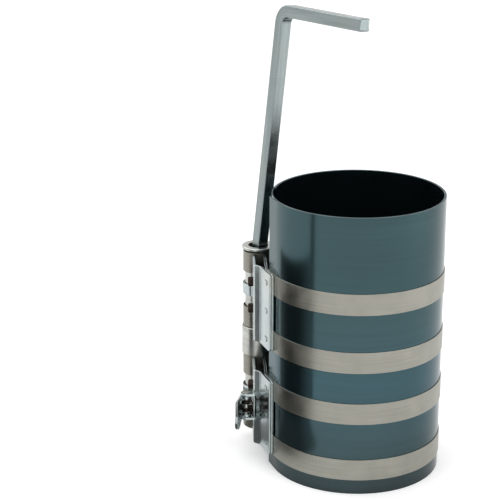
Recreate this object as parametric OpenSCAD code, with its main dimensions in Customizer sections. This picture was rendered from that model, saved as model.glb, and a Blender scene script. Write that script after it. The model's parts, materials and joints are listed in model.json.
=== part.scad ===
// Piston ring compressor: a wound spring steel sleeve, drawn tight around piston rings by four
// tension bands. A square key turns a spindle that winds up the bands, and a pawl holds it.
// Millimetres, +Z up. The origin is on the sleeve's axis, in the plane that the sleeve stands on.

/* [Sleeve] */
// Inside diameter of the wound sleeve
sleeve_bore = 97; // [90:1:150]
// Height of the sleeve
sleeve_h = 165; // [150:1:200]
// Thickness of the sleeve's sheet
sheet_t = 0.6; // [0.4:0.1:0.8]
// Gap between the turns of the sheet
sheet_gap = 0.15; // [0.1:0.05:0.3]
// Straight outer end of the sheet, under the brackets
sheet_tail = 10; // [6:0.5:12]
// Angle that the innermost turn of the sheet covers past its half turn
sheet_lap = 150; // [120:5:175]

/* [Bands] */
// Width of a tension band
band_w = 12.5; // [9:0.5:14]
// Thickness of a tension band
band_t = 0.5; // [0.3:0.1:0.7]
// Height of the lowest band's middle
band_z = 15; // [12:0.5:20]
// Distance between the two bands of one bracket
band_pair = 34.5; // [32:0.5:38]
// Distance between the two brackets
bracket_pitch = 65.5; // [60:0.5:70]
// Half turns of band wound on the spindle
roll_halves = 3; // [2:1:3]

/* [Brackets] */
// Thickness of the bracket sheet
plate_t = 1.5; // [1:0.1:1.8]
// Distance between the middles of the front and rear plates
plate_gap = 6.4; // [5:0.1:8]
// Run of the rear plate that lies flat on the sleeve
seat_run = 11; // [9:0.5:13]
// Straight run of the rear plate up to the loop
plate_run = 26.5; // [25:0.5:30]
// Angle between the seat and the straight run
seat_tilt = 17; // [14:1:20]
// Middle radius of the plates' bends
bend_r = 2; // [1.5:0.1:3]
// Angle of the joggle that brings the front plate down on the rear plate
joggle = 50; // [45:1:60]
// Straight run inside the joggle
joggle_run = 3; // [2:0.1:4]
// Height of the loop around the spindle
loop_h = 6.4; // [5.5:0.1:8]
// Radius of the plates' free corners
corner_r = 1.6; // [1:0.1:3]

/* [Rivets] */
// Diameter of a spacer rivet's head
rivet_head_d = 5.8; // [5:0.1:6.4]
// Height of a spacer rivet's head
rivet_head_h = 2.8; // [1.5:0.1:3.2]
// Diameter of a spacer rivet's shank
rivet_d = 3; // [2:0.1:4]
// Distance of the spacer rivets from the spindle axis
rivet_reach = 14.5; // [13.5:0.1:16]
// Height of the spacer rivets above and below the loop's middle
rivet_rise = 8.3; // [7.5:0.1:10]
// Width of a clinched seam tab
tab_w = 2.8; // [2:0.1:4]
// Height of a seam tab above the front plate
tab_h = 0.5; // [0.3:0.1:1]

/* [Spindle] */
// Outside diameter of the spindle
spindle_d = 15.6; // [15:0.1:17]
// Diameter of the key socket
socket_d = 12; // [11.4:0.1:12.4]
// Diameter of the bore through the ratchet half
lower_bore = 8; // [5:0.5:9]
// Diameter of the flange
flange_d = 19.4; // [18:0.1:21]
// Thickness of the flange at its rim
flange_t = 1.6; // [1.2:0.1:2.5]
// Height of the flare under the flange
flare_h = 1.4; // [0.8:0.1:2]
// Chamfer on the flange's rim
rim_chamfer = 0.4; // [0.2:0.1:0.6]
// Length of the spindle below the lower bracket
foot_out = 1; // [0.5:0.5:4]
// Outside diameter of the coupling sleeve
coupling_d = 19.4; // [18:0.1:21]
// Width of the coupling tongue
tongue_w = 5; // [3:0.1:6]
// Height of the coupling tongue
tongue_h = 6; // [4:0.5:7]
// Thickness of the drive plug
plug_t = 4; // [3:0.5:5]

/* [Ratchet] */
// Number of ratchet teeth
teeth = 12; // [8:1:16]
// Depth of the ratchet teeth
tooth_depth = 1.3; // [0.8:0.1:1.6]
// Height of the ratchet teeth
tooth_h = 5; // [4:0.1:6]

/* [Pawl] */
// Diameter of the pawl pin
pin_d = 3; // [2.5:0.1:3.4]
// Diameter of the pin's riveted ends
pin_head_d = 4.4; // [4:0.1:5]
// Height of the pin's riveted ends
pin_head_h = 0.6; // [0.4:0.1:1]
// Distance of the pin from the spindle axis, along the plates
pin_reach = 27; // [26:0.1:29]
// Distance of the pin from the front plate's face
pin_stand = 4.3; // [4:0.1:5]
// Half the distance between the middles of the ears
ear_rise = 7.5; // [7:0.1:8.5]
// Radius of the ears around the pin
ear_r = 3.3; // [2.8:0.1:3.6]
// Thickness of the lever's sheet
lever_t = 1.5; // [1:0.1:1.8]
// Middle radius of the lever's bends
lever_bend_r = 1.8; // [1.2:0.1:2.4]
// Length of the lever's wall on each side of the pin
wall_run = 8; // [7:0.5:9]
// Angle that the lever stands off from the plates
lever_tilt = 14; // [12:1:15]
// Distance of the lever's wall from the pin
pad_stand = 3.3; // [3.2:0.1:4]
// Radius of the thumb pad's broad end
pad_r = 5.5; // [5:0.1:6]
// Distance of the broad end behind the pin
pad_back = 4; // [3:0.1:5]
// Distance of the broad end below the nose
pad_drop = 8.5; // [6:0.1:10]
// Radius of the thumb pad's nose end
nose_r = 3.8; // [3:0.1:4.5]
// Distance of the nose end ahead of the pin
nose_ahead = 13.5; // [12:0.1:14]
// Angle around the spindle where the nose meets the teeth
nose_angle = 212; // [210:1:214]
// Thickness of the nose
nose_t = 2.4; // [1.6:0.1:3]
// Width of the nose behind its tip
nose_w = 2.4; // [1.8:0.1:3]
// Angle of the slot in the loop for the nose
slot_sweep = 44; // [40:1:48]
// Wire diameter of the pawl spring
wire_d = 0.9; // [0.6:0.1:1]
// Reach of the spring's legs past the pin
leg_reach = 7; // [6:0.5:8]

/* [Key] */
// Width across the flats of the square key
key_a = 7; // [6:0.1:7.4]
// Chamfer along the key's edges
key_chamfer = 0.6; // [0.3:0.1:1]
// Length of the key above the drive plug
key_rise = 143; // [100:1:180]
// Length of the key's arm past the bend
key_arm = 68; // [40:1:90]
// Middle radius of the key's bend
key_bend_r = 8; // [6:0.5:12]
// Angle of the key's bend
key_bend = 85; // [80:1:90]
// Lean of the key in its socket
key_lean = 5.6; // [4:0.1:8]
// Direction of the key's arm, seen from above
key_turn = -59; // [-180:1:180]

/* [Clearances] */
// Gap between pieces that lie on each other
seat_gap = 0.02; // [0.01:0.01:0.05]
// Gap around a turning shaft
turn_gap = 0.1; // [0.05:0.01:0.15]
// Gap between moving pieces that pass each other
pass_gap = 0.3; // [0.2:0.05:0.4]
// Gap around the key
key_gap = 0.12; // [0.1:0.01:0.2]

/* [Hidden] */
$fn = 96;
BLUED = "#3d5a66";
BAND_GREY = "#8f8b84";
ZINC = "#c3c9c8";
DARK_OXIDE = "#2b211e";

function dir(a) = [cos(a), sin(a)];
function tilted(p) = p[0] * dir(-lever_tilt) + p[1] * dir(90 - lever_tilt);

// Sheet: half turns whose radius falls by half a pitch each, about two centres
sheet_pitch = sheet_t + sheet_gap;
turn_4 = sleeve_bore / 2 + sheet_t / 2;
turn_3 = turn_4 + sheet_pitch / 2;
turn_2 = turn_3 + sheet_pitch / 2;
turn_1 = turn_2 + sheet_pitch / 2;

// Seat: the plane where sheet end, band ends and plates lie on each other, left of the sleeve
seat_angle = 180 + seat_tilt;
seat_out = dir(seat_angle);
seat_along = dir(seat_angle - 90);
sheet_seat = turn_1 + sheet_pitch / 2;
band_over = sheet_t / 2 + seat_gap + band_t / 2;
band_seat = sheet_seat + band_over;
rear_seat = band_seat + band_t / 2 + seat_gap + plate_t / 2;
front_seat = rear_seat + plate_t + seat_gap;

// Loop: the strap flares out of both plates and runs around the spindle
loop_r = spindle_d / 2 + turn_gap + plate_t / 2;
flare_r = bend_r;
loop_root = plate_t;
facet = 6;
flare = acos((plate_gap / 2 + flare_r) / (loop_r + flare_r));
rear_bend = rear_seat * seat_out + seat_run * seat_along + bend_r * dir(seat_tilt) - [bend_r, 0];
plate_end_y = rear_bend[1] + plate_run;
spindle_x = rear_bend[0] - plate_gap / 2;
spindle_y = plate_end_y + (loop_r + flare_r) * sin(flare);
spindle_at = [spindle_x, spindle_y];

// Front plate: straight down to the joggle, then flat on the rear plate
front_x = spindle_x - plate_gap / 2;
front_face_x = front_x - plate_t / 2;
joggle_move = [bend_r, 0] + 2 * bend_r * dir(180 + joggle) + joggle_run * dir(270 + joggle)
    + bend_r * dir(seat_tilt);
joggle_y = (front_seat - front_x * seat_out[0] - joggle_move * seat_out) / seat_out[1];
front_run = plate_end_y - joggle_y;
front_seat_run = ([front_x, joggle_y] + joggle_move) * seat_along;

// Heights
bracket_h = band_pair + band_w;
lower_z = band_z - band_w / 2;
upper_z = lower_z + bracket_pitch;
lower_mid = lower_z + bracket_h / 2;
upper_mid = lower_mid + bracket_pitch;
band_bases = [for (base = [lower_z, upper_z], lift = [0, band_pair]) base + lift];
spindle_foot = lower_z - foot_out;
spindle_top = upper_z + bracket_h + flare_h + flange_t;
coupling_foot = lower_z + bracket_h + pass_gap;
coupling_h = bracket_pitch - bracket_h - 2 * pass_gap;
spindle_joint = coupling_foot + coupling_h / 2;

// Wound bands, and where a band leaves the sleeve for its roll
roll_pitch = band_t + seat_gap;
roll_inner = spindle_d / 2 + seat_gap + band_t / 2 + roll_pitch / 2;
roll_outer = roll_inner + (roll_halves - 1) * roll_pitch / 2 + band_t / 2 + roll_pitch / 2;
run_from_roll = roll_outer + pass_gap / 2 + band_t / 2;
wrap_2 = turn_2 + band_over;
spindle_far = norm(spindle_at);
leave_angle = atan2(spindle_y, spindle_x) - acos((wrap_2 + run_from_roll) / spindle_far);
band_run = sqrt(pow(spindle_far, 2) - pow(wrap_2 + run_from_roll, 2));
band_tail = sheet_tail;
run_t = band_t - turn_gap;

// Key: leaning until a corner nearly meets the socket's mouth
plug_depth = (socket_d / 2 - key_gap - key_a / sqrt(2)) / tan(key_lean);
plug_z = spindle_top - plug_depth;
plug_hole = key_a / cos(key_lean) + plug_t * tan(key_lean) + 2 * key_gap;
key_tip = plug_depth;

// Pawl
tooth_crest = spindle_d / 2 - turn_gap;
pin_at = [front_face_x - pin_stand, spindle_y - pin_reach];
ear_inside = ear_rise - plate_t / 2;
cheek_rise = ear_inside - pass_gap - lever_t / 2;
wall_out = pad_stand + lever_t;
nose_tip = spindle_at - pin_at + (tooth_crest + pass_gap) * dir(nose_angle);
nose_root = tilted([-pad_stand - lever_t / 2, nose_ahead]);
slot_h = nose_t + 2 * pass_gap;

// A strip of sheet on edge. It starts at the origin along +X and follows its steps, each
// [length] or [bend radius, angle], a positive angle bending to the left.
module strip(steps, t, h, i = 0) {
    if (i < len(steps)) {
        step = steps[i];
        if (len(step) == 1) {
            translate([0, -t / 2, 0]) cube([step[0], t, h]);
            translate([step[0], 0, 0]) strip(steps, t, h, i + 1);
        } else {
            side = sign(step[1]);
            translate([0, side * step[0], 0]) {
                rotate(side > 0 ? -90 : 90 + step[1])
                    rotate_extrude(angle = abs(step[1]))
                        translate([step[0] - t / 2, 0]) square([t, h]);
                rotate(step[1]) translate([0, -side * step[0], 0]) strip(steps, t, h, i + 1);
            }
        }
    }
}

// Sleeve
module sleeve() {
    start = sheet_seat * seat_out + sheet_tail * seat_along;
    color(BLUED) translate([start[0], start[1], 0]) rotate(seat_angle + 90)
        strip([[sheet_tail], [turn_1, 180], [turn_2, 180], [turn_3, 180], [turn_4, sheet_lap]],
            sheet_t, sleeve_h);
}

// Tension bands, numbered from the top
module band(number) {
    start = band_seat * seat_out + band_tail * seat_along;
    color(BAND_GREY) difference() {
        translate([0, 0, band_bases[4 - number]]) {
            translate([start[0], start[1], 0]) rotate(seat_angle + 90)
                strip([[band_tail], [turn_1 + band_over, 180], [wrap_2, leave_angle - seat_tilt]],
                    band_t, band_w);
            rotate(leave_angle) translate([wrap_2 - run_t / 2, -band_t, 0])
                cube([run_t, band_t + band_run, band_w]);
        }
        seam_holes(number > 2 ? lower_mid : upper_mid);
    }
}

module band_roll(number) {
    halves = [for (i = [roll_halves - 1:-1:0]) [roll_inner + i * roll_pitch / 2, -180]];
    first = halves[0][0];
    color(BAND_GREY) translate([spindle_x, spindle_y, band_bases[4 - number]])
        rotate(leave_angle) translate([0, -first, 0]) rotate(180) strip(halves, band_t, band_w);
}

// Brackets: rear plate, loop and front plate bent from one sheet
module corner_cut(at, turn, base) {
    for (up = [0, 1]) translate([at[0], at[1], base + up * bracket_h]) rotate(turn)
        mirror([0, 0, up]) difference() {
            translate([-corner_r, -2 * plate_t, -corner_r])
                cube([2 * corner_r, 4 * plate_t, 2 * corner_r]);
            translate([-corner_r, 0, corner_r]) rotate([90, 0, 0])
                cylinder(r = corner_r, h = 5 * plate_t, center = true);
        }
}

// Stations [place, heading] along a path of the same steps
function walk(steps, at, heading, i = 0) =
    i == len(steps) ? [[at, heading]] :
    len(steps[i]) == 1 ?
        concat([[at, heading]], walk(steps, at + steps[i][0] * dir(heading), heading, i + 1)) :
    let (r = steps[i][0], turn = steps[i][1], out = heading - sign(turn) * 90,
        centre = at - r * dir(out), n = ceil(abs(turn) / facet))
    concat([for (k = [0:n - 1]) [centre + r * dir(out + turn * k / n), heading + turn * k / n]],
        walk(steps, centre + r * dir(out + turn), heading + turn, i + 1));

module sheet_outline(path, t) {
    half = t / 2;
    polygon(concat([for (s = path) s[0] + half * dir(s[1] + 90)],
        [for (i = [len(path) - 1:-1:0]) path[i][0] - half * dir(path[i][1] + 90)]));
}

module bracket_sheet(base) {
    rear = walk([[seat_run], [bend_r, -seat_tilt], [plate_run]], rear_seat * seat_out,
        seat_angle - 90);
    loop = walk([[loop_root], [flare_r, -flare], [loop_r, 180 + 2 * flare], [flare_r, -flare],
        [loop_root]], [rear_bend[0], plate_end_y - loop_root], 90);
    front = walk([[front_run], [bend_r, joggle], [joggle_run], [bend_r, seat_tilt - joggle],
        [front_seat_run]], [front_x, plate_end_y], -90);
    translate([0, 0, base]) linear_extrude(bracket_h) {
        sheet_outline(rear, plate_t);
        sheet_outline(front, plate_t);
    }
    translate([0, 0, base + (bracket_h - loop_h) / 2]) difference() {
        linear_extrude(loop_h) sheet_outline(loop, plate_t);
        at_spindle(0) cylinder(r = spindle_d / 2 + turn_gap, h = 3 * loop_h, center = true);
    }
}

module spacer_holes(mid) {
    for (side = [-1, 1]) translate([spindle_x, spindle_y - rivet_reach, mid + side * rivet_rise])
        rotate([0, 90, 0]) cylinder(d = rivet_d, h = 3 * plate_gap, center = true);
}

module seam_places(mid) {
    at = rear_seat * seat_out + seat_run / 2 * seat_along;
    for (lift = [-band_pair / 2, 0, band_pair / 2])
        translate([at[0], at[1], mid + lift]) rotate(seat_angle) children();
}

module seam_holes(mid) {
    seam_places(mid) cube([8 * plate_t, tab_w, tab_w], center = true);
}

module bracket_blank(base) {
    mid = base + bracket_h / 2;
    rear = rear_seat * seat_out;
    difference() {
        bracket_sheet(base);
        spacer_holes(mid);
        seam_holes(mid);
        corner_cut(rear + (front_seat - rear_seat) / 2 * seat_out, seat_angle + 90, base);
    }
}

module upper_bracket() {
    color(ZINC) bracket_blank(upper_z);
}

// Ears folded out of a window in the front plate, and a slot in the loop for the nose
module lower_bracket() {
    color(ZINC) difference() {
        union() {
            difference() {
                bracket_blank(lower_z);
                translate([front_x, pin_at[1], lower_mid])
                    cube([2 * plate_t, 2 * ear_r, 2 * ear_inside], center = true);
            }
            for (side = [-1, 1]) translate([0, 0, lower_mid + side * ear_rise - plate_t / 2]) {
                translate([pin_at[0], pin_at[1], 0]) cylinder(r = ear_r, h = plate_t);
                translate([pin_at[0], pin_at[1] - ear_r, 0])
                    cube([front_x - pin_at[0], 2 * ear_r, plate_t]);
            }
        }
        translate([pin_at[0], pin_at[1], lower_mid])
            cylinder(d = pin_d, h = 4 * ear_rise, center = true);
        at_spindle(lower_mid - slot_h / 2) rotate(nose_angle - slot_sweep / 2)
            rotate_extrude(angle = slot_sweep) translate([spindle_d / 2 - plate_t, 0])
                square([loop_r, slot_h]);
    }
}

// Spacer rivets: head outside the front plate, spacer between the plates, riveted behind
module spacer_rivets(mid) {
    between = plate_gap - plate_t;
    across = plate_gap + plate_t;
    upset = plate_t / 2;
    collar_d = (rivet_d + rivet_head_d) / 2;
    color(DARK_OXIDE) for (side = [-1, 1])
        translate([spindle_x, spindle_y - rivet_reach, mid + side * rivet_rise])
            rotate([0, -90, 0]) {
                cylinder(d = rivet_d, h = across, center = true);
                cylinder(d = collar_d, h = between, center = true);
                translate([0, 0, -across / 2 - upset]) cylinder(d = collar_d, h = upset);
                translate([0, 0, across / 2]) rotate_extrude() spacer_head();
            }
}

// Half outline of a spacer rivet's head: a barrel with a dished end
module spacer_head() {
    r = rivet_head_d / 2;
    edge = rivet_head_h / 5;
    polygon([[0, 0], [r, 0], [r, rivet_head_h - edge], [r - edge, rivet_head_h],
        [r / 2, rivet_head_h], [r / 3, rivet_head_h - edge], [0, rivet_head_h - edge]]);
}

module upper_spacer_rivets() spacer_rivets(upper_mid);
module lower_spacer_rivets() spacer_rivets(lower_mid);

// Seam tabs: clinched through both plates and the band ends
module seam_tabs(mid) {
    through = band_t + 2 * plate_t + 2 * seat_gap;
    inside = -(plate_t / 2 + seat_gap + band_t);
    color(ZINC) seam_places(mid) translate([inside, -tab_w / 2, -tab_w / 2])
        cube([through + tab_h, tab_w, tab_w]);
}

module upper_seam_tabs() seam_tabs(upper_mid);
module lower_seam_tabs() seam_tabs(lower_mid);

// Spindle: a flanged socket half and a ratchet half, joined by a tongue inside a sleeve
module at_spindle(z) {
    translate([spindle_x, spindle_y, z]) children();
}

module upper_spindle() {
    r = spindle_d / 2;
    neck = spindle_top - flange_t - flare_h;
    color(ZINC) difference() {
        at_spindle(0) rotate_extrude() polygon([[socket_d / 2, spindle_joint], [r, spindle_joint],
            [r, neck], [flange_d / 2, neck + flare_h], [flange_d / 2, spindle_top - rim_chamfer],
            [flange_d / 2 - rim_chamfer, spindle_top], [socket_d / 2, spindle_top]]);
        at_spindle(spindle_joint + tongue_h / 2)
            cube([2 * spindle_d, tongue_w + 2 * turn_gap, tongue_h + 2 * turn_gap], center = true);
    }
}

module ratchet_outline() {
    step = 360 / teeth;
    root = tooth_crest - tooth_depth;
    polygon([for (i = [0:teeth - 1], p = [[root, 0], [tooth_crest, step / 8], [tooth_crest, step / 3]])
        p[0] * dir(i * step + p[1])]);
}

module lower_spindle() {
    r = spindle_d / 2;
    teeth_foot = lower_mid - tooth_h / 2;
    color(ZINC) difference() {
        union() {
            at_spindle(spindle_foot) cylinder(r = r, h = teeth_foot - spindle_foot);
            at_spindle(teeth_foot) linear_extrude(tooth_h) ratchet_outline();
            at_spindle(teeth_foot + tooth_h)
                cylinder(r = r, h = spindle_joint - teeth_foot - tooth_h);
            intersection() {
                at_spindle(spindle_joint + tongue_h / 2)
                    cube([spindle_d, tongue_w, tongue_h], center = true);
                at_spindle(spindle_joint) cylinder(r = r, h = tongue_h);
            }
        }
        at_spindle(spindle_foot - 1) cylinder(d = lower_bore, h = spindle_joint + tongue_h);
    }
}

module coupling_sleeve() {
    color(ZINC) at_spindle(coupling_foot) rotate_extrude()
        translate([spindle_d / 2 + seat_gap, 0])
            square([(coupling_d - spindle_d) / 2 - seat_gap, coupling_h]);
}

module drive_plug() {
    color(ZINC) at_spindle(plug_z) difference() {
        cylinder(d = socket_d, h = plug_t, center = true);
        rotate(key_turn) cube([plug_hole, plug_hole, 2 * plug_t], center = true);
    }
}

// Pawl
module pawl_pin() {
    tall = 2 * ear_rise + plate_t;
    color(ZINC) translate([pin_at[0], pin_at[1], lower_mid - tall / 2]) {
        cylinder(d = pin_d, h = tall);
        translate([0, 0, tall]) cylinder(d = pin_head_d, h = pin_head_h);
        translate([0, 0, -pin_head_h]) cylinder(d = pin_head_d, h = pin_head_h);
    }
}

// Outline of two circles and their common tangents
module drop_outline(a, ra, b, rb) {
    away = b - a;
    heading = atan2(away[1], away[0]);
    spread = acos((ra - rb) / norm(away));
    translate(a) circle(ra);
    translate(b) circle(rb);
    polygon([a + ra * dir(heading + spread), a + ra * dir(heading - spread),
        b + rb * dir(heading - spread), b + rb * dir(heading + spread)]);
}

// Lever: a channel bent around the pin and a thumb pad, standing off from the plates, with a
// nose that reaches the teeth
module lever_channel(cheek_r) {
    side_run = cheek_r + pad_stand + lever_t / 2 - lever_bend_r;
    section = walk([[side_run], [lever_bend_r, 90], [2 * (cheek_rise - lever_bend_r)],
        [lever_bend_r, 90], [side_run]], [cheek_r, cheek_rise], 180);
    intersection() {
        rotate([90, 0, 0]) linear_extrude(4 * wall_run, center = true) sheet_outline(section, lever_t);
        linear_extrude(4 * cheek_rise, center = true) {
            circle(cheek_r);
            polygon([[-2 * wall_out, -wall_run], [-pad_stand, -wall_run], [0, -cheek_r], [0, cheek_r],
                [-pad_stand, wall_run], [-2 * wall_out, wall_run]]);
        }
    }
}

module pawl_lever() {
    bore = pin_d / 2 + turn_gap / 2;
    color(ZINC) translate([pin_at[0], pin_at[1], lower_mid]) difference() {
        union() {
            rotate(-lever_tilt) {
                lever_channel(ear_r - pass_gap);
                translate([-pad_stand, 0, 0]) rotate([90, 0, -90]) mirror([1, 0, 0])
                    linear_extrude(lever_t)
                        drop_outline([-pad_back, -pad_drop], pad_r, [nose_ahead, 0], nose_r);
            }
            translate([0, 0, -nose_t / 2]) linear_extrude(nose_t)
                polygon([nose_tip, nose_tip - [nose_w, 0], nose_root - [lever_t / 2, 0],
                    nose_root - [0, lever_t], nose_root + [lever_t / 2, 0],
                    nose_tip - [pass_gap, nose_w]]);
        }
        cylinder(r = bore, h = 4 * ear_rise, center = true);
    }
}

// Pawl spring: two coils around the pin, legs on the front plate, a bight on the thumb pad
coil_r = pin_d / 2 + pass_gap + turn_gap + wire_d / 2;
coil_top = cheek_rise - lever_t / 2 - wire_d;
coil_turns = 2.5;
coil_points = 30;
bight_rise = coil_top - coil_turns * (wire_d + pass_gap);
leg_x = front_face_x - wire_d / 2 - turn_gap;
bight_x = wire_d / 2 + turn_gap - pad_stand;
bight_out = pin_at + tilted([bight_x, 2 * wire_d - leg_reach]);
bight_end = pin_at + tilted([bight_x, wire_d - leg_reach]);
pin_y = pin_at[1];
upper_half = concat(
    [[leg_x, pin_y - leg_reach, coil_top], [leg_x, pin_y - leg_reach + wire_d, coil_top],
        [pin_at[0] + coil_r, pin_y - coil_r / 2, coil_top]],
    [for (i = [0:coil_points]) let (a = i / coil_points * coil_turns * 360)
        [pin_at[0] + coil_r * cos(a), pin_y + coil_r * sin(a),
            coil_top - (coil_top - bight_rise) * i / coil_points]],
    [[bight_out[0], bight_out[1], bight_rise], [bight_end[0], bight_end[1], bight_rise - wire_d]]);
lower_half = [for (i = [len(upper_half) - 1:-1:0]) let (p = upper_half[i]) [p[0], p[1], -p[2]]];
wire_route = concat(upper_half, lower_half);

function unit(v) = v / norm(v);
function flat(v, t) = unit(v - (v * t) * t);
function headings(p) = [for (i = [0:len(p) - 1])
    unit(p[min(i + 1, len(p) - 1)] - p[max(i - 1, 0)])];

// A round wire swept along its points, with frames carried from ring to ring
module wire(points, d, sides) {
    t = headings(points);
    last = len(points) - 1;
    side = [for (i = 0, n = flat([0, 0, 1], t[0]); i <= last;
        i = i + 1, n = i <= last ? flat(n, t[i]) : n) n];
    rings = [for (i = [0:last], k = [0:sides - 1])
        let (a = 360 * k / sides, n = side[i], b = cross(t[i], n))
            points[i] + d / 2 * (cos(a) * n + sin(a) * b)];
    walls = [for (i = [0:last - 1], k = [0:sides - 1]) let (j = (k + 1) % sides)
        [i * sides + k, (i + 1) * sides + k, (i + 1) * sides + j, i * sides + j]];
    ends = [[for (k = [0:sides - 1]) k], [for (k = [sides - 1:-1:0]) last * sides + k]];
    polyhedron(rings, concat(walls, ends));
}

module pawl_spring() {
    color(DARK_OXIDE) translate([0, 0, lower_mid]) wire(wire_route, wire_d, 8);
}

// Key: a square bar with a bent arm, standing loose in the drive plug
module key_section() {
    h = key_a / 2;
    c = key_chamfer;
    polygon([[h, c - h], [h, h - c], [h - c, h], [c - h, h], [-h, h - c], [-h, c - h],
        [c - h, -h], [h - c, -h]]);
}

module key() {
    color(ZINC) at_spindle(plug_z) rotate([0, key_lean, 0]) rotate(key_turn) {
        translate([0, 0, key_rise]) mirror([0, 0, 1]) linear_extrude(key_rise + key_tip) key_section();
        mirror([1, 0, 0]) translate([-key_bend_r, 0, key_rise]) rotate([90, 0, 0]) {
            difference() {
                rotate_extrude(angle = 90) translate([key_bend_r, 0]) key_section();
                rotate(key_bend) translate([0, 0, -key_a]) cube(2 * (key_bend_r + key_a));
            }
            rotate(key_bend) translate([key_bend_r, 0, 0]) rotate([-90, 0, 0])
                linear_extrude(key_arm) key_section();
        }
    }
}

sleeve();
band(1);  // band_1
band(2);  // band_2
band(3);  // band_3
band(4);  // band_4
upper_bracket();
lower_bracket();
upper_spacer_rivets();
lower_spacer_rivets();
upper_seam_tabs();
lower_seam_tabs();
pawl_pin();
pawl_spring();
pawl_lever();
upper_spindle();
lower_spindle();
coupling_sleeve();
drive_plug();
band_roll(1);  // band_roll_1
band_roll(2);  // band_roll_2
band_roll(3);  // band_roll_3
band_roll(4);  // band_roll_4
key();
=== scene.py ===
import json
import math

import bmesh
import bpy
import numpy as np
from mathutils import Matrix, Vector


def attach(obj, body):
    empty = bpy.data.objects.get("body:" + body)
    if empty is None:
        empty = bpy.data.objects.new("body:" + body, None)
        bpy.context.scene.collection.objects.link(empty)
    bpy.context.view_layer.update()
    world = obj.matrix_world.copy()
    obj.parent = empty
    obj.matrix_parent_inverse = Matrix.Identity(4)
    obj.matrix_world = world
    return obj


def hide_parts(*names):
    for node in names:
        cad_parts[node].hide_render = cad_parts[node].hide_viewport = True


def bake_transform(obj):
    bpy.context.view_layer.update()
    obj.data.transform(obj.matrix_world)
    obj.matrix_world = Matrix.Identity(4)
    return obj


mm = 0.001
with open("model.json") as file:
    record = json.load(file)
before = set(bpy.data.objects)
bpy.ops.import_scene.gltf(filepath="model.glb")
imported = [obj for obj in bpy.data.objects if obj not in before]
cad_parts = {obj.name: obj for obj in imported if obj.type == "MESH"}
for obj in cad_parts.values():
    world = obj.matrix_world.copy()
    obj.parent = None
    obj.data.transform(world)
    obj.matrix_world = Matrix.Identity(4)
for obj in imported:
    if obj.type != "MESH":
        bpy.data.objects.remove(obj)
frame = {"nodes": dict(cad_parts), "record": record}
nodes, record = frame["nodes"], frame["record"]
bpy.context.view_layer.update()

pathPoints = {"straight": 4, "bend": 3}  # points on a straight run, and the least in a bend
cornerShare = {"curve": 0.35, "hold": 0.48}  # most that a soft corner takes of its shorter side
sharpAngle = 40.0  # a computed piece keeps an edge sharp past this turn, in degrees


# plan geometry, in millimetres
def headingOf(degrees):  # unit vector in plan, from an angle in degrees
    a = np.radians(degrees)
    return np.stack([np.cos(a), np.sin(a)], -1)


def walkPlan(start, facing, steps, spacing):
    # a plan path: (length,) runs straight, (radius, angle) bends, left when the angle is positive;
    # spacing is the angle from point to point in a bend
    at, facing = np.array(start, float), float(facing)
    points, facings = [], []
    for step in steps:
        if len(step) == 1:
            t = np.linspace(0, step[0], pathPoints["straight"], endpoint=False)
            points.append(at + t[:, None] * headingOf(facing))
            facings.append(np.full(len(t), facing))
            at = at + step[0] * headingOf(facing)
        else:
            radius, turn = step
            out = facing - np.sign(turn) * 90
            centre = at - radius * headingOf(out)
            count = max(pathPoints["bend"], math.ceil(abs(turn) / spacing))
            t = np.linspace(0, turn, count, endpoint=False)
            points.append(centre + radius * headingOf(out + t))
            facings.append(facing + t)
            at, facing = centre + radius * headingOf(out + turn), facing + turn
    return np.concatenate(points + [at[None]]), np.concatenate(facings + [[facing]])


def softCorners(corners, radius, steps=4, hold=0.3):
    # closed outline: each corner becomes a quadratic curve, with a holding point on the flat at both ends
    c = np.array(corners, float)
    back, ahead = np.roll(c, 1, 0) - c, np.roll(c, -1, 0) - c
    backRun, aheadRun = np.linalg.norm(back, axis=1), np.linalg.norm(ahead, axis=1)
    shorter = np.minimum(backRun, aheadRun)
    r = np.minimum(np.broadcast_to(radius, len(c)), cornerShare["curve"] * shorter)
    h = np.minimum(r + hold, cornerShare["hold"] * shorter)
    back, ahead = back / backRun[:, None], ahead / aheadRun[:, None]
    t = np.linspace(0, 1, steps + 1)[None, :, None]
    a, b = (c + back * r[:, None])[:, None], (c + ahead * r[:, None])[:, None]
    curve = (1 - t) ** 2 * a + 2 * t * (1 - t) * c[:, None] + t ** 2 * b
    first, last = (c + back * h[:, None])[:, None], (c + ahead * h[:, None])[:, None]
    return np.concatenate([first, curve, last], 1).reshape(-1, 2)


def roundedBox(width, height, radius):  # outline of a strip's section: width across, height up from zero
    x = width / 2
    return softCorners([[-x, 0], [x, 0], [x, height], [-x, height]], radius)


# grids into meshes
def gridFaces(n, m, closeN, closeM):  # quads between the rows and columns of an n by m grid
    i, j = np.meshgrid(np.arange(n if closeN else n - 1), np.arange(m if closeM else m - 1), indexing="ij")
    k, l = (i + 1) % n, (j + 1) % m
    return np.stack([i * m + j, k * m + j, k * m + l, i * m + l], -1).reshape(-1, 4)


def signedVolume(points, faces):  # six times the volume: triple products of each quad's two triangles
    a = points[faces[:, 0]]
    return sum(np.einsum("ij,ij->i", a, np.cross(points[faces[:, k]], points[faces[:, k + 1]])).sum()
               for k in (1, 2))


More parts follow.
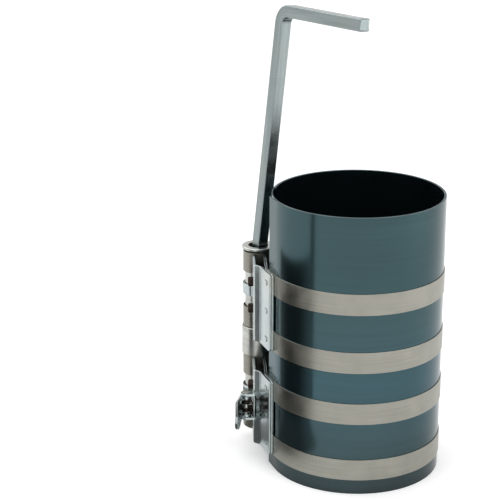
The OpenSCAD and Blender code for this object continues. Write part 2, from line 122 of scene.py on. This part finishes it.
def putGrids(name, grids, finish, body=None):
    # one object from closed grids of (points, closeN, closeM); open ends of a row grid are capped
    verts, faces, base = [], [], 0
    for points, closeN, closeM in grids:
        n, m = points.shape[:2]
        flat = points.reshape(-1, 3)
        quads = gridFaces(n, m, closeN, closeM)
        flip = signedVolume(flat - flat.mean(0), quads) < 0
        quads = quads[:, ::-1] if flip else quads
        faces += (quads + base).tolist()
        if not closeN:
            caps = [np.arange(m), (n - 1) * m + np.arange(m)[::-1]]
            faces += [((cap[::-1] if flip else cap) + base).tolist() for cap in caps]
        verts.append(flat)
        base += n * m
    mesh = bpy.data.meshes.new(name)
    mesh.from_pydata((np.concatenate(verts) * mm).tolist(), [], faces)
    mesh.validate()
    mesh.polygons.foreach_set("use_smooth", np.full(len(mesh.polygons), True))
    mesh.set_sharp_from_angle(angle=math.radians(sharpAngle))
    mesh.materials.append(finish)
    piece = bpy.data.objects.new(name, mesh)
    bpy.context.scene.collection.objects.link(piece)
    if body:
        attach(piece, body)
    return piece


def unrollGrid(piece, points, name):
    # a UV map in metres for a grid closed round its section: (run along the rows, run round the section)
    n, m = points.shape[:2]
    along = np.linalg.norm(np.diff(points.mean(1), axis=0), axis=1)
    around = np.linalg.norm(np.roll(points[n // 2], -1, 0) - points[n // 2], axis=1)
    rowRun, ringRun = np.append(0, np.cumsum(along)) * mm, np.append(0, np.cumsum(around)) * mm
    corners = np.zeros(len(piece.data.loops), int)
    piece.data.loops.foreach_get("vertex_index", corners)
    row, ring = corners // m, corners % m
    quads = ring[:4 * (n - 1) * m].reshape(-1, 4)  # the quads come first, the two caps last
    quads[(quads == m - 1).any(1)[:, None] & (quads == 0)] = m  # the last quad of a ring ends a full turn on
    places = np.column_stack([rowRun[row], ringRun[ring]])
    piece.data.uv_layers.new(name=name).data.foreach_set("uv", places.ravel())


def carryStrip(path, facings, section, lift=0.0):
    # a section (across, up) carried along a plan path: point + across * left normal, and up
    left = headingOf(facings + 90)
    plan = path[:, None] + section[None, :, :1] * left[:, None]
    up = np.broadcast_to(section[None, :, 1:] + lift, plan.shape[:2] + (1,))
    return np.concatenate([plan, up], -1)


def spinSection(section, centre, turns=96):
    # a closed section (radius, height) spun about a vertical axis: radius * heading + centre
    around = headingOf(np.linspace(0, 360, turns, endpoint=False))
    plan = section[None, :, :1] * around[:, None] + np.array(centre)
    up = np.broadcast_to(section[None, :, 1:], plan.shape[:2] + (1,))
    return np.concatenate([plan, up], -1)


def carryTube(route, axisAt, radius, sides=16):
    # a round wire: rings across the route's tangent, each set square to the line from a vertical axis
    tangent = np.gradient(route, axis=0)
    tangent /= np.linalg.norm(tangent, axis=1)[:, None]
    away = route - np.array([*axisAt, 0])
    away[:, 2] = 0
    side = away - np.sum(away * tangent, 1)[:, None] * tangent
    side /= np.linalg.norm(side, axis=1)[:, None]
    other = np.cross(tangent, side)
    a = np.linspace(0, 2 * np.pi, sides, endpoint=False)
    ring = np.cos(a)[None, :, None] * side[:, None] + np.sin(a)[None, :, None] * other[:, None]
    return route[:, None] + radius * ring


# shader nodes
def addNode(tree, kind, **values):  # a new node with these settings
    node = tree.nodes.new(kind)
    for key, value in values.items():
        setattr(node, key, value)
    return node


def mathNode(tree, operation, a, b):  # a and b are numbers or sockets
    node = addNode(tree, "ShaderNodeMath", operation=operation)
    for k, v in enumerate([a, b]):
        if isinstance(v, (int, float)):
            node.inputs[k].default_value = v
        else:
            tree.links.new(v, node.inputs[k])
    return node.outputs[0]


def rampNode(tree, source, places, tones):  # grey levels or colours at places along the source's value
    node = addNode(tree, "ShaderNodeValToRGB")
    marks = node.color_ramp.elements
    while len(marks) < len(places):
        marks.new(0.5)
    for mark, place, tone in zip(marks, places, tones):
        mark.position = place
        mark.color = (*tone, 1) if isinstance(tone, tuple) else (tone, tone, tone, 1)
    tree.links.new(source, node.inputs["Fac"])
    return node.outputs["Color"]


def noiseNode(tree, vector, scale, detail, rough=0.5):
    node = addNode(tree, "ShaderNodeTexNoise")
    node.inputs["Scale"].default_value = scale
    node.inputs["Detail"].default_value = detail
    node.inputs["Roughness"].default_value = rough
    tree.links.new(vector, node.inputs["Vector"])
    return node.outputs["Fac"]


def mixTones(tree, amount, a, b, blend):  # amount is a number or a socket, a and b are sockets or colours
    node = addNode(tree, "ShaderNodeMix", data_type="RGBA", blend_type=blend)
    for socket, v in ((node.inputs[0], amount), (node.inputs[6], a), (node.inputs[7], b)):
        if isinstance(v, float):
            socket.default_value = v
        elif isinstance(v, tuple):
            socket.default_value = (*v, 1)
        else:
            tree.links.new(v, socket)
    return node.outputs[2]


def startFinish(name, metallic=1.0):  # a new material, its tree and shader, and its texture coordinates
    finish = bpy.data.materials.new(name)
    finish.use_nodes = True
    tree = finish.node_tree
    shader = tree.nodes["Principled BSDF"]
    shader.inputs["Metallic"].default_value = metallic
    return finish, tree, shader, addNode(tree, "ShaderNodeTexCoord").outputs


def stretchCoords(tree, coords, scale):  # coordinates stretched so that a noise draws out into streaks
    node = addNode(tree, "ShaderNodeMapping")
    node.inputs["Scale"].default_value = scale
    tree.links.new(coords, node.inputs["Vector"])
    return node.outputs["Vector"]


def wrapCoords(tree, coords, around, up):
    # unrolled coordinates about the sleeve's axis, (angle * around, 0, height * up), and the plain height
    parts = addNode(tree, "ShaderNodeSeparateXYZ")
    tree.links.new(coords, parts.inputs[0])
    angle = mathNode(tree, "ARCTAN2", parts.outputs["Y"], parts.outputs["X"])
    joined = addNode(tree, "ShaderNodeCombineXYZ")
    tree.links.new(mathNode(tree, "MULTIPLY", angle, around), joined.inputs["X"])
    tree.links.new(mathNode(tree, "MULTIPLY", parts.outputs["Z"], up), joined.inputs["Z"])
    return joined.outputs[0], parts.outputs["Z"]


def setRough(tree, shader, source, look):
    tree.links.new(rampNode(tree, source, look["roughSpan"], look["rough"]), shader.inputs["Roughness"])


def setBump(tree, shader, height, strength, distance):
    node = addNode(tree, "ShaderNodeBump")
    node.inputs["Strength"].default_value = strength
    node.inputs["Distance"].default_value = distance
    tree.links.new(height, node.inputs["Height"])
    tree.links.new(node.outputs["Normal"], shader.inputs["Normal"])


# oil-blued sheet: tints that change with height, drifting with a cloud, under fine level streaks; the darker,
# greyer foot is painted shade of the floor's contact shadow
bluedLook = {"metallic": 0.95, "height": 0.165, "tintSpan": (0.0, 0.18, 0.40, 0.58, 0.80, 1.0),
             "tintsAndFootShade": ((0.046, 0.062, 0.066), (0.055, 0.094, 0.104), (0.053, 0.104, 0.124),
                       (0.054, 0.098, 0.109), (0.048, 0.088, 0.097), (0.050, 0.090, 0.098)),
             "clouds": (0.9, 18.0), "cloudScale": 1.6, "cloudDetail": 4.0, "drift": 0.16,
             "streaks": (0.4, 420.0), "streakDetail": 2.0, "streakSpan": (0.25, 0.75),
             "streakTones": (0.93, 1.05), "roughSpan": (0.3, 0.75), "rough": (0.12, 0.22),
             "bump": (0.03, 0.0002)}


def makeBlued(look):
    finish, tree, shader, coords = startFinish("bluedSheet", look["metallic"])
    streaks, height = wrapCoords(tree, coords["Object"], *look["streaks"])
    clouds, _ = wrapCoords(tree, coords["Object"], *look["clouds"])
    cloud = noiseNode(tree, clouds, look["cloudScale"], look["cloudDetail"])
    drift = mathNode(tree, "MULTIPLY", mathNode(tree, "SUBTRACT", cloud, 0.5), look["drift"])
    place = mathNode(tree, "ADD", mathNode(tree, "DIVIDE", height, look["height"]), drift)
    # the lowest stop is painted shade: the foot is darkened for the floor's contact shadow seen in the sheet
    tint = rampNode(tree, place, look["tintSpan"], look["tintsAndFootShade"])
    lines = noiseNode(tree, streaks, 1.0, look["streakDetail"])
    shade = rampNode(tree, lines, look["streakSpan"], look["streakTones"])
    tree.links.new(mixTones(tree, 1.0, tint, shade, "MULTIPLY"), shader.inputs["Base Color"])
    setRough(tree, shader, cloud, look)
    setBump(tree, shader, lines, *look["bump"])
    return finish


# band steel: brushed along the strip, with dull patches
bandLook = {"pale": (0.37, 0.36, 0.315), "deep": (0.26, 0.26, 0.23), "rough": (0.26, 0.42)}
# a darker copy of the band steel: painted shade for the rolls, which sit in the gap between the bracket
# plates
shadedRollLook = {"pale": (0.34, 0.33, 0.285), "deep": (0.21, 0.207, 0.18), "rough": (0.28, 0.44)}
stripGrain = {"brushed": (1.2, 2600.0), "brushDetail": 3.0, "brushRough": 0.6, "brushShare": 0.6,
              "patches": (3.0, 60.0), "patchScale": 1.5, "patchDetail": 4.0, "patchShare": 0.4,
              "toneSpan": (0.3, 0.7), "roughSpan": (0.3, 0.7), "bump": (0.12, 0.0001)}


def makeBandSteel(name, ownLook):
    look = {**stripGrain, **ownLook}
    finish, tree, shader, coords = startFinish(name)
    brushed, _ = wrapCoords(tree, coords["Object"], *look["brushed"])
    patches, _ = wrapCoords(tree, coords["Object"], *look["patches"])
    lines = noiseNode(tree, brushed, 1.0, look["brushDetail"], look["brushRough"])
    patch = noiseNode(tree, patches, look["patchScale"], look["patchDetail"])
    worn = mathNode(tree, "ADD", mathNode(tree, "MULTIPLY", lines, look["brushShare"]),
                    mathNode(tree, "MULTIPLY", patch, look["patchShare"]))
    tint = rampNode(tree, worn, look["toneSpan"], (look["deep"], look["pale"]))
    tree.links.new(tint, shader.inputs["Base Color"])
    setRough(tree, shader, patch, look)
    setBump(tree, shader, lines, *look["bump"])
    return finish


# zinc plate: a drawn-out grain, with warm stains
sheetLook = {"streak": (0.35, 0.35, 0.12), "pale": (0.52, 0.575, 0.575), "deep": (0.38, 0.43, 0.435),
             "warm": (0.50, 0.505, 0.45), "rough": (0.14, 0.28)}
drawnLook = {"streak": (0.05, 1.0, 1.0), "pale": (0.30, 0.34, 0.338), "deep": (0.21, 0.248, 0.25),
             "warm": (0.275, 0.288, 0.26), "rough": (0.18, 0.34)}  # streaks run along the bar
turnedLook = {"streak": (0.2, 0.2, 1.0), "pale": (0.56, 0.57, 0.535), "deep": (0.42, 0.43, 0.405),
              "warm": (0.51, 0.50, 0.45), "rough": (0.24, 0.40)}  # streaks run round the piece
zincGrain = {"grainScale": 260.0, "grainRough": 0.6, "cloudScale": 70.0, "detail": 4.0, "stainScale": 26.0,
             "stainDetail": 2.0, "toneSpan": (0.3, 0.68), "stainSpan": (0.52, 0.72), "stain": (0.0, 0.55),
             "roughSpan": (0.3, 0.72), "bump": (0.10, 0.0002)}


def makeZinc(name, ownLook, uvName=None):
    look = {**zincGrain, **ownLook}
    finish, tree, shader, coords = startFinish(name)
    place = addNode(tree, "ShaderNodeUVMap", uv_map=uvName).outputs["UV"] if uvName else coords["Object"]
    drawn = stretchCoords(tree, place, look["streak"])
    grain = noiseNode(tree, drawn, look["grainScale"], look["detail"], look["grainRough"])
    cloud = noiseNode(tree, place, look["cloudScale"], look["detail"])
    broad = noiseNode(tree, place, look["stainScale"], look["stainDetail"])
    tint = rampNode(tree, grain, look["toneSpan"], (look["deep"], look["pale"]))
    stain = rampNode(tree, broad, look["stainSpan"], look["stain"])
    tree.links.new(mixTones(tree, stain, tint, look["warm"], "MIX"), shader.inputs["Base Color"])
    setRough(tree, shader, cloud, look)
    setBump(tree, shader, grain, *look["bump"])
    return finish


# dark oxide: a fine speckle, worn brown on its high points
darkLook = {"deep": (0.020, 0.014, 0.012), "worn": (0.085, 0.062, 0.052), "toneSpan": (0.42, 0.75),
            "speckleScale": 620.0, "speckleDetail": 4.0, "speckleRough": 0.65,
            "roughSpan": (0.3, 0.7), "rough": (0.32, 0.55), "bump": (0.25, 0.0002)}


def makeDarkOxide(look):
    finish, tree, shader, coords = startFinish("darkOxide")
    speckle = noiseNode(tree, coords["Object"], look["speckleScale"], look["speckleDetail"],
                        look["speckleRough"])
    tint = rampNode(tree, speckle, look["toneSpan"], (look["deep"], look["worn"]))
    tree.links.new(tint, shader.inputs["Base Color"])
    setRough(tree, shader, speckle, look)
    setBump(tree, shader, speckle, *look["bump"])
    return finish


bluedSheet, darkOxide = makeBlued(bluedLook), makeDarkOxide(darkLook)
bandSteel, shadedRollSteel = makeBandSteel("bandSteel", bandLook), makeBandSteel("shadedRollSteel", shadedRollLook)
drawnZinc = makeZinc("drawnZinc", drawnLook, "bar")
turnedZinc, sheetZinc = makeZinc("turnedZinc", turnedLook), makeZinc("sheetZinc", sheetLook)
print("finishes made")


# sleeve: the sheet's section carried along half turns of falling radius
sheet = {"bore": 2 * record["mounts"][0]["dims"]["r_mm"], "thick": 0.6, "gap": 0.15, "height": 165.0,
         "tail": 10.0, "halfTurns": 4, "lap": 150.0, "tilt": 17.0, "edge": 0.14, "spacing": 1.5}
pitch = sheet["thick"] + sheet["gap"]
turnRadii = [(sheet["bore"] + sheet["thick"] + k * pitch) / 2 for k in range(sheet["halfTurns"] + 1)]
seatAngle = 180 + sheet["tilt"]


def makeSleeve():
    # a straight tail on the brackets' seat, half turns inwards, and a last lap at the bore
    start = turnRadii[-1] * headingOf(seatAngle) + sheet["tail"] * headingOf(seatAngle - 90)
    steps = [(sheet["tail"],)] + [(radius, 180) for radius in turnRadii[-2:0:-1]]
    steps.append((turnRadii[0], sheet["lap"]))
    path, facings = walkPlan(start, seatAngle + 90, steps, sheet["spacing"])
    strip = carryStrip(path, facings, roundedBox(sheet["thick"], sheet["height"], sheet["edge"]))
    piece = putGrids("woundSleeve", [(strip, False, True)], bluedSheet, "band_frame")
    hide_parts("sleeve")


makeSleeve()
print("sleeve made")


# bands round the sleeve, each with its roll on the spindle
band = {"wide": 12.5, "thick": 0.5, "first": 8.75, "pair": 34.5, "bracket": 65.5, "seat": 0.02, "edge": 0.12,
        "spacing": 1.5, "rollSpacing": 4.0}
jointAt = {j["name"]: np.array(j["pos_m"]) / mm for j in record["behaviour"]["joints"] if "pos_m" in j}
spindle = {"at": jointAt["spindle_turn"][:2], "across": 15.6, "halves": 3, "pass": 0.3}
bandFoot = [band["first"] + b * band["bracket"] + p * band["pair"] for b in (1, 0) for p in (1, 0)]
bandOver = sheet["thick"] / 2 + band["seat"] + band["thick"] / 2
rollPitch = band["thick"] + band["seat"]
rollInner = spindle["across"] / 2 + band["seat"] + band["thick"] / 2 + rollPitch / 2
rollFirst = rollInner + (spindle["halves"] - 1) * rollPitch / 2
runGap = rollFirst + band["thick"] / 2 + rollPitch / 2 + spindle["pass"] / 2 + band["thick"] / 2
wrapRadius = turnRadii[-3] + bandOver
spindleFar = float(np.hypot(*spindle["at"]))
spindleAngle = math.atan2(spindle["at"][1], spindle["at"][0])
leaveAngle = math.degrees(spindleAngle - math.acos((wrapRadius + runGap) / spindleFar))
bandRun = math.sqrt(spindleFar ** 2 - (wrapRadius + runGap) ** 2)


def makeBands():
    # tail, half turn, wrap and a straight run towards the spindle; the roll winds the other way round it
    section = roundedBox(band["thick"], band["wide"], band["edge"])
    start = (turnRadii[-1] + bandOver) * headingOf(seatAngle) + sheet["tail"] * headingOf(seatAngle - 90)
    steps = [(sheet["tail"],), (turnRadii[-2] + bandOver, 180), (wrapRadius, leaveAngle - sheet["tilt"]),
             (bandRun,)]
    path, facings = walkPlan(start, seatAngle + 90, steps, band["spacing"])
    rollStart = np.array(spindle["at"]) - rollFirst * headingOf(leaveAngle + 90)
    rollSteps = [(rollFirst - k * rollPitch / 2, -180) for k in range(spindle["halves"])]
    rollPath, rollFacings = walkPlan(rollStart, leaveAngle + 180, rollSteps, band["rollSpacing"])
    for k, foot in enumerate(bandFoot, 1):
        run = carryStrip(path, facings, section, foot)
        piece = putGrids(f"tensionBand{k}", [(run, False, True)], bandSteel, "band_frame")
        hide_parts(f"band_{k}")
        wound = carryStrip(rollPath, rollFacings, section, foot)
        roll = putGrids(f"bandRoll{k}", [(wound, False, True)], shadedRollSteel, "spindle")
        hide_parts(f"band_roll_{k}")


makeBands()
print("bands made, leaving the sleeve at", round(leaveAngle, 2))


# coupling collar: its section spun about the spindle's axis
coupling = {"foot": 56.05, "height": 17.9, "across": 19.4, "soft": 0.6, "boreSoft": 0.1}


def makeCollar():
    inside, outside = spindle["across"] / 2 + band["seat"], coupling["across"] / 2
    low, high = coupling["foot"], coupling["foot"] + coupling["height"]
    soft, boreSoft = coupling["soft"], coupling["boreSoft"]
    section = softCorners([[inside, low], [outside, low], [outside, high], [inside, high]],
                          [boreSoft, soft, soft, boreSoft])
    spun = spinSection(section, spindle["at"])
    ring = putGrids("couplingCollar", [(spun, True, True)], turnedZinc, "spindle")
    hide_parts("coupling_sleeve")


makeCollar()
print("collar made")


# pawl spring: two coils on the pin, legs on the front plate and a bight on the lever
spring = {"wire": 0.9, "coil": 2.35, "top": 4.05, "turns": 2.5, "rise": 1.05, "legX": 3.75, "reach": 7.0,
          "bightX": -2.75, "tilt": 14.0, "coilPoints": 120, "step": 0.25, "smooth": 7, "wind": 2.2}


def evenRoute(points, step, smooth):
    # the route walked in equal steps, then each point set to the mean of its neighbours
    run = np.concatenate([[0], np.cumsum(np.linalg.norm(np.diff(points, axis=0), axis=1))])
    s = np.linspace(0, run[-1], int(run[-1] / step))
    even = np.stack([np.interp(s, run, points[:, k]) for k in range(3)], -1)
    padded = np.pad(even, ((smooth // 2, smooth // 2), (0, 0)), "edge")
    return np.stack([np.convolve(padded[:, k], np.full(smooth, 1 / smooth), "valid") for k in range(3)], -1)


def makeSpring():
    # upper half: leg, coil falling as it turns, then the bight; the lower half is its mirror, walked back
    wire, reach, top, rise = spring["wire"], spring["reach"], spring["top"], spring["rise"]
    a = np.linspace(0, spring["turns"] * 360, spring["coilPoints"])
    coil = np.column_stack([spring["coil"] * headingOf(a), np.linspace(top, rise, len(a))])
    tilt = headingOf([-spring["tilt"], 90 - spring["tilt"]])
    bight = np.array([[spring["bightX"], 2 * wire - reach], [spring["bightX"], wire - reach]]) @ tilt
    leg = np.array([[spring["legX"], -reach, top], [spring["legX"], wire - reach, top],
                    [spring["coil"], -spring["coil"] / 2, top]])
    upper = np.concatenate([leg, coil, np.column_stack([bight, [rise, rise - wire]])])
    route = evenRoute(np.concatenate([upper, upper[::-1] * [1, 1, -1]]), spring["step"], spring["smooth"])
    pin = jointAt["pawl_release"]
    tube = carryTube(route + pin, pin[:2], wire / 2)
    piece = putGrids("torsionSpring", [(tube, False, True)], darkOxide)
    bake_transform(piece)
    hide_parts("pawl_spring")


makeSpring()
print("spring made")


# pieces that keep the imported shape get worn, rounded edges: width in millimetres, finish, and whether the
# bevel is held back where faces are small
softened = {"upper_bracket": (0.35, sheetZinc, False), "lower_bracket": (0.35, sheetZinc, False),
            "upper_seam_tabs": (0.18, sheetZinc, False), "lower_seam_tabs": (0.18, sheetZinc, False),
            "pawl_lever": (0.30, sheetZinc, True), "pawl_pin": (0.2, turnedZinc, False),
            "upper_spindle": (0.2, turnedZinc, False), "lower_spindle": (0.2, turnedZinc, True),
            "drive_plug": (0.2, turnedZinc, False), "upper_spacer_rivets": (0.25, darkOxide, False),
            "lower_spacer_rivets": (0.25, darkOxide, False)}
wear = {"weld": 0.002, "flatAngle": 0.6, "edgeAngle": 35.0, "segments": 3, "flatWeight": 100}


def softenNode(name, width, finish, held):
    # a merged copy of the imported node, with a narrow bevel on its sharp edges
    mesh = nodes[name].data.copy()
    work = bmesh.new()
    work.from_mesh(mesh)
    bmesh.ops.remove_doubles(work, verts=work.verts, dist=wear["weld"] * mm)
    bmesh.ops.dissolve_limit(work, angle_limit=math.radians(wear["flatAngle"]), verts=work.verts,
                             edges=work.edges)
    work.to_mesh(mesh)
    work.free()
    mesh.materials.clear()
    mesh.materials.append(finish)
    mesh.polygons.foreach_set("use_smooth", np.full(len(mesh.polygons), True))
    piece = bpy.data.objects.new("soft_" + name, mesh)
    bpy.context.scene.collection.objects.link(piece)
    edge = piece.modifiers.new("edge", "BEVEL")
    edge.width, edge.segments, edge.use_clamp_overlap = width * mm, wear["segments"], held
    edge.limit_method, edge.angle_limit = "ANGLE", math.radians(wear["edgeAngle"])
    flats = piece.modifiers.new("flats", "WEIGHTED_NORMAL")  # broad faces stay flat, the bevels take the turn
    flats.mode, flats.weight, flats.keep_sharp = "FACE_AREA", wear["flatWeight"], False
    body = next(b for b, members in record["behaviour"]["bodies"].items() if name in members)
    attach(piece, body)
    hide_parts(name)


for nodeName, (edgeWidth, nodeFinish, heldBack) in softened.items():
    softenNode(nodeName, edgeWidth, nodeFinish, heldBack)
print("packed pieces softened:", len(softened))


# key: a soft square section carried up the bar, round the bend and out along the arm
keyBar = {"flats": 7.0, "edge": 0.8, "edgeSteps": 5, "edgeHold": 0.25, "foot": 9.487, "rise": 143.0,
          "bendRadius": 8.0, "bend": 85.0, "bendPoints": 28, "arm": 68.0, "end": 0.5,
          "lean": 5.6, "turn": -59.0, "plug": 114.763}


def keyLine():  # the bar's middle line in its own plane, (out, up), and how far it has turned at each point
    foot, rise, arm, end, r = (keyBar[k] for k in ("foot", "rise", "arm", "end", "bendRadius"))
    t = np.linspace(0, math.radians(keyBar["bend"]), keyBar["bendPoints"])
    bar = np.array([[0, -foot], [0, end - foot], [0, 2 * end - foot], [0, rise / 2]])
    bend = np.stack([r * (1 - np.cos(t)), rise + r * np.sin(t)], -1)
    armWay = np.array([np.sin(t[-1]), np.cos(t[-1])])
    armLine = bend[-1] + np.array([arm / 2, arm - 2 * end, arm - end, arm])[:, None] * armWay
    return (np.concatenate([bar, bend, armLine]),
            np.concatenate([np.zeros(len(bar)), t, np.full(len(armLine), t[-1])]))


def makeKey():
    # middle line + size * section, its first axis turned with the line and its second square to the line's
    # plane; all of it is then turned about the bar and leant
    h = keyBar["flats"] / 2
    section = softCorners([[-h, -h], [h, -h], [h, h], [-h, h]], keyBar["edge"], keyBar["edgeSteps"],
                          keyBar["edgeHold"])
    line, turned = keyLine()
    size = np.ones(len(line))
    size[[0, -1]] = 1 - keyBar["end"] / h  # chamfered ends
    inward = np.stack([np.cos(turned), np.zeros(len(turned)), -np.sin(turned)], -1)
    middle = np.stack([line[:, 0], np.zeros(len(line)), line[:, 1]], -1)
    ring = section[None, :, :1] * inward[:, None] + section[None, :, 1:] * np.array([0, 1.0, 0])
    local = middle[:, None] + size[:, None, None] * ring
    lean, turn = math.radians(keyBar["lean"]), math.radians(keyBar["turn"])
    spun = np.array([[math.cos(turn), -math.sin(turn), 0], [math.sin(turn), math.cos(turn), 0], [0, 0, 1]])
    tipped = np.array([[math.cos(lean), 0, math.sin(lean)], [0, 1, 0], [-math.sin(lean), 0, math.cos(lean)]])
    placed = local @ (tipped @ spun).T + np.array([*spindle["at"], keyBar["plug"]])
    piece = putGrids("squareKey", [(placed, False, True)], drawnZinc, "key_bar")
    unrollGrid(piece, placed, "bar")
    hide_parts("key")


makeKey()
print("key made")


# floor and world: white to the eye and in reflections, while the floor keeps the object's shadow
paper = {"half": 30.0, "tone": 0.92, "rough": 0.9, "white": 0.13, "nearGlow": 0.16, "farGlow": 0.48,
         "near": 0.7, "far": 2.2}  # the glow rises from near to far, where the lamps don't reach
worldFill = 0.55


def makeFloor():
    mesh = bpy.data.meshes.new("floor")
    s = paper["half"]
    mesh.from_pydata([(-s, -s, 0), (s, -s, 0), (s, s, 0), (-s, s, 0)], [], [(0, 1, 2, 3)])
    floor = bpy.data.objects.new("floor", mesh)
    bpy.context.scene.collection.objects.link(floor)
    finish, tree, shader, coords = startFinish("palePaper", 0.0)
    shader.inputs["Base Color"].default_value = (paper["tone"],) * 3 + (1,)
    shader.inputs["Roughness"].default_value = paper["rough"]
    shader.inputs["Emission Color"].default_value = (1, 1, 1, 1)
    away = addNode(tree, "ShaderNodeVectorMath", operation="LENGTH")
    tree.links.new(coords["Object"], away.inputs[0])
    glow = addNode(tree, "ShaderNodeMapRange", interpolation_type="SMOOTHSTEP")
    for k, key in enumerate(("near", "far", "nearGlow", "farGlow"), 1):
        glow.inputs[k].default_value = paper[key]
    tree.links.new(away.outputs["Value"], glow.inputs[0])
    path = addNode(tree, "ShaderNodeLightPath").outputs
    seen = mathNode(tree, "MAXIMUM", path["Is Camera Ray"], path["Is Glossy Ray"])
    level = mathNode(tree, "ADD", mathNode(tree, "MULTIPLY", seen, glow.outputs[0]),
                     mathNode(tree, "MULTIPLY", path["Is Camera Ray"], paper["white"]))
    tree.links.new(level, shader.inputs["Emission Strength"])
    mesh.materials.append(finish)


def makeWorld():
    world = bpy.data.worlds.new("studio")
    bpy.context.scene.world = world
    world.use_nodes = True
    tree = world.node_tree
    back = tree.nodes["Background"]
    back.inputs["Color"].default_value = (1, 1, 1, 1)
    path = addNode(tree, "ShaderNodeLightPath").outputs
    seen = mathNode(tree, "MAXIMUM", path["Is Camera Ray"], path["Is Glossy Ray"])
    seen = mathNode(tree, "MAXIMUM", seen, path["Is Transmission Ray"])
    level = mathNode(tree, "ADD", mathNode(tree, "MULTIPLY", seen, 1 - worldFill), worldFill)
    tree.links.new(level, back.inputs["Strength"])


# dark studio flags, in metres: upright sheets from one plan point to another, and a dark patch on the floor
# that paints a shadow into reflections
flagLook = {"sideFlag": {"from": (-0.130, -0.078), "to": (-0.130, 0.040), "height": 0.105,
                         "deep": 0.03, "edge": 0.36, "reach": 0.083},
            "postFlag": {"from": (-0.130, -0.094), "to": (-0.130, -0.078), "height": 0.24,
                         "deep": 0.30, "edge": 0.60, "reach": 0.083},
            "plateFlag": {"from": (-0.135, -0.036), "to": (-0.135, 0.000), "height": 0.100,
                          "deep": 0.26, "edge": 0.50, "reach": 0.0},
            "backFlag": {"from": (-0.095, 0.200), "to": (-0.045, 0.200), "height": 0.160,
                         "deep": 0.10, "edge": 0.10, "reach": 0.0}}
# painted shadow: a dark patch just above the floor, seen only in reflections, standing for shade on the floor
# to the left
floorShadowPatch = {"from": (-0.130, -0.078), "to": (-0.072, 0.040), "lift": 0.0005,
            "deep": 0.10, "edge": 0.36, "reach": 0.0}
flagSoft = 0.3  # share of a flag's width over which its tone falls


def addFlag(name, points, look):
    # shows only in reflections, and only from further off than its reach; its tone falls from edge to deep
    # across its UV map
    n, m = points.shape[:2]
    mesh = bpy.data.meshes.new(name)
    mesh.from_pydata(points.reshape(-1, 3).tolist(), [], gridFaces(n, m, False, False).tolist())
    across, up = np.meshgrid(np.linspace(0, 1, m), np.linspace(0, 1, n))
    places = np.stack([across, up], -1).reshape(-1, 2)
    corners = np.zeros(len(mesh.loops), int)
    mesh.loops.foreach_get("vertex_index", corners)
    mesh.uv_layers.new(name="flag").data.foreach_set("uv", places[corners].ravel())
    paint, tree, shader, coords = startFinish(name + "Paint", 0.0)
    shader.inputs["Roughness"].default_value = 1.0
    parts = addNode(tree, "ShaderNodeSeparateXYZ")
    tree.links.new(coords["UV"], parts.inputs[0])
    tone = rampNode(tree, parts.outputs["X"], (0.0, flagSoft, 1 - flagSoft, 1.0),
                    (look["edge"], look["deep"], look["deep"], look["edge"]))
    tree.links.new(tone, shader.inputs["Base Color"])
    clear, shown = addNode(tree, "ShaderNodeBsdfTransparent"), addNode(tree, "ShaderNodeMixShader")
    length = addNode(tree, "ShaderNodeLightPath").outputs["Ray Length"]
    tree.links.new(mathNode(tree, "GREATER_THAN", length, look["reach"]), shown.inputs[0])
    tree.links.new(clear.outputs[0], shown.inputs[1])
    tree.links.new(shader.outputs[0], shown.inputs[2])
    tree.links.new(shown.outputs[0], tree.nodes["Material Output"].inputs["Surface"])
    mesh.materials.append(paint)
    flag = bpy.data.objects.new(name, mesh)
    bpy.context.scene.collection.objects.link(flag)
    flag.visible_camera = flag.visible_diffuse = flag.visible_shadow = False


def makeFlags():
    for name, look in flagLook.items():
        ends = np.array([look["from"], look["to"]])
        addFlag(name, np.stack([np.column_stack([ends, np.full(2, z)]) for z in (0, look["height"])]), look)
    y, x = np.meshgrid(*[(floorShadowPatch["from"][k], floorShadowPatch["to"][k]) for k in (1, 0)])
    addFlag("floorShadowPatch", np.stack([x, y, np.full_like(x, floorShadowPatch["lift"])], -1), floorShadowPatch)


# soft lamps and the photograph's camera: metres, watts, degrees, and millimetres of lens
lamps = {"keyLamp": {"at": (0.9, -1.0, 1.3), "aim": (0, 0, 0.1), "size": (0.9, 0.9), "power": 7.5},
         "fillLamp": {"at": (-1.1, -0.9, 0.9), "aim": (0, 0, 0.1), "size": (0.8, 1.0), "power": 4.5},
         "topLamp": {"at": (0.0, 0.3, 1.6), "aim": (0, 0, 0.1), "size": (1.2, 1.2), "power": 5.5},
         "rearLamp": {"at": (-1.1, 0.6, 1.0), "aim": (-0.7, 0.35, 0), "size": (0.8, 0.8), "power": 4.5},
         "sideLamp": {"at": (0.8, -0.15, 0.25), "aim": (0, 0, 0.08), "size": (0.5, 0.5), "power": 1.0}}
view = {"lens": 118.55, "sensor": 36.0, "clip": (0.05, 100.0), "eye": (-0.0946, -0.900, 0.4265),
        "pitch": 18.15, "yaw": 2.06}


def addLamp(name, look):
    data = bpy.data.lights.new(name, "AREA")
    data.shape, data.energy = "RECTANGLE", look["power"]
    data.size, data.size_y = look["size"]
    lamp = bpy.data.objects.new(name, data)
    lamp.location = look["at"]
    lamp.rotation_euler = (Vector(look["aim"]) - Vector(look["at"])).to_track_quat("-Z", "Y").to_euler()
    bpy.context.scene.collection.objects.link(lamp)


def makeCamera():
    data = bpy.data.cameras.new("photoCamera")
    data.lens, data.sensor_width = view["lens"], view["sensor"]
    data.clip_start, data.clip_end = view["clip"]
    camera = bpy.data.objects.new("photoCamera", data)
    camera.location = view["eye"]
    camera.rotation_euler = (math.radians(90 - view["pitch"]), 0, math.radians(-view["yaw"]))
    bpy.context.scene.collection.objects.link(camera)
    bpy.context.scene.camera = camera


makeFloor()
makeWorld()
makeFlags()
for lampName, lampLook in lamps.items():
    addLamp(lampName, lampLook)
makeCamera()
bpy.context.scene.view_settings.view_transform = "Standard"
print("studio made")
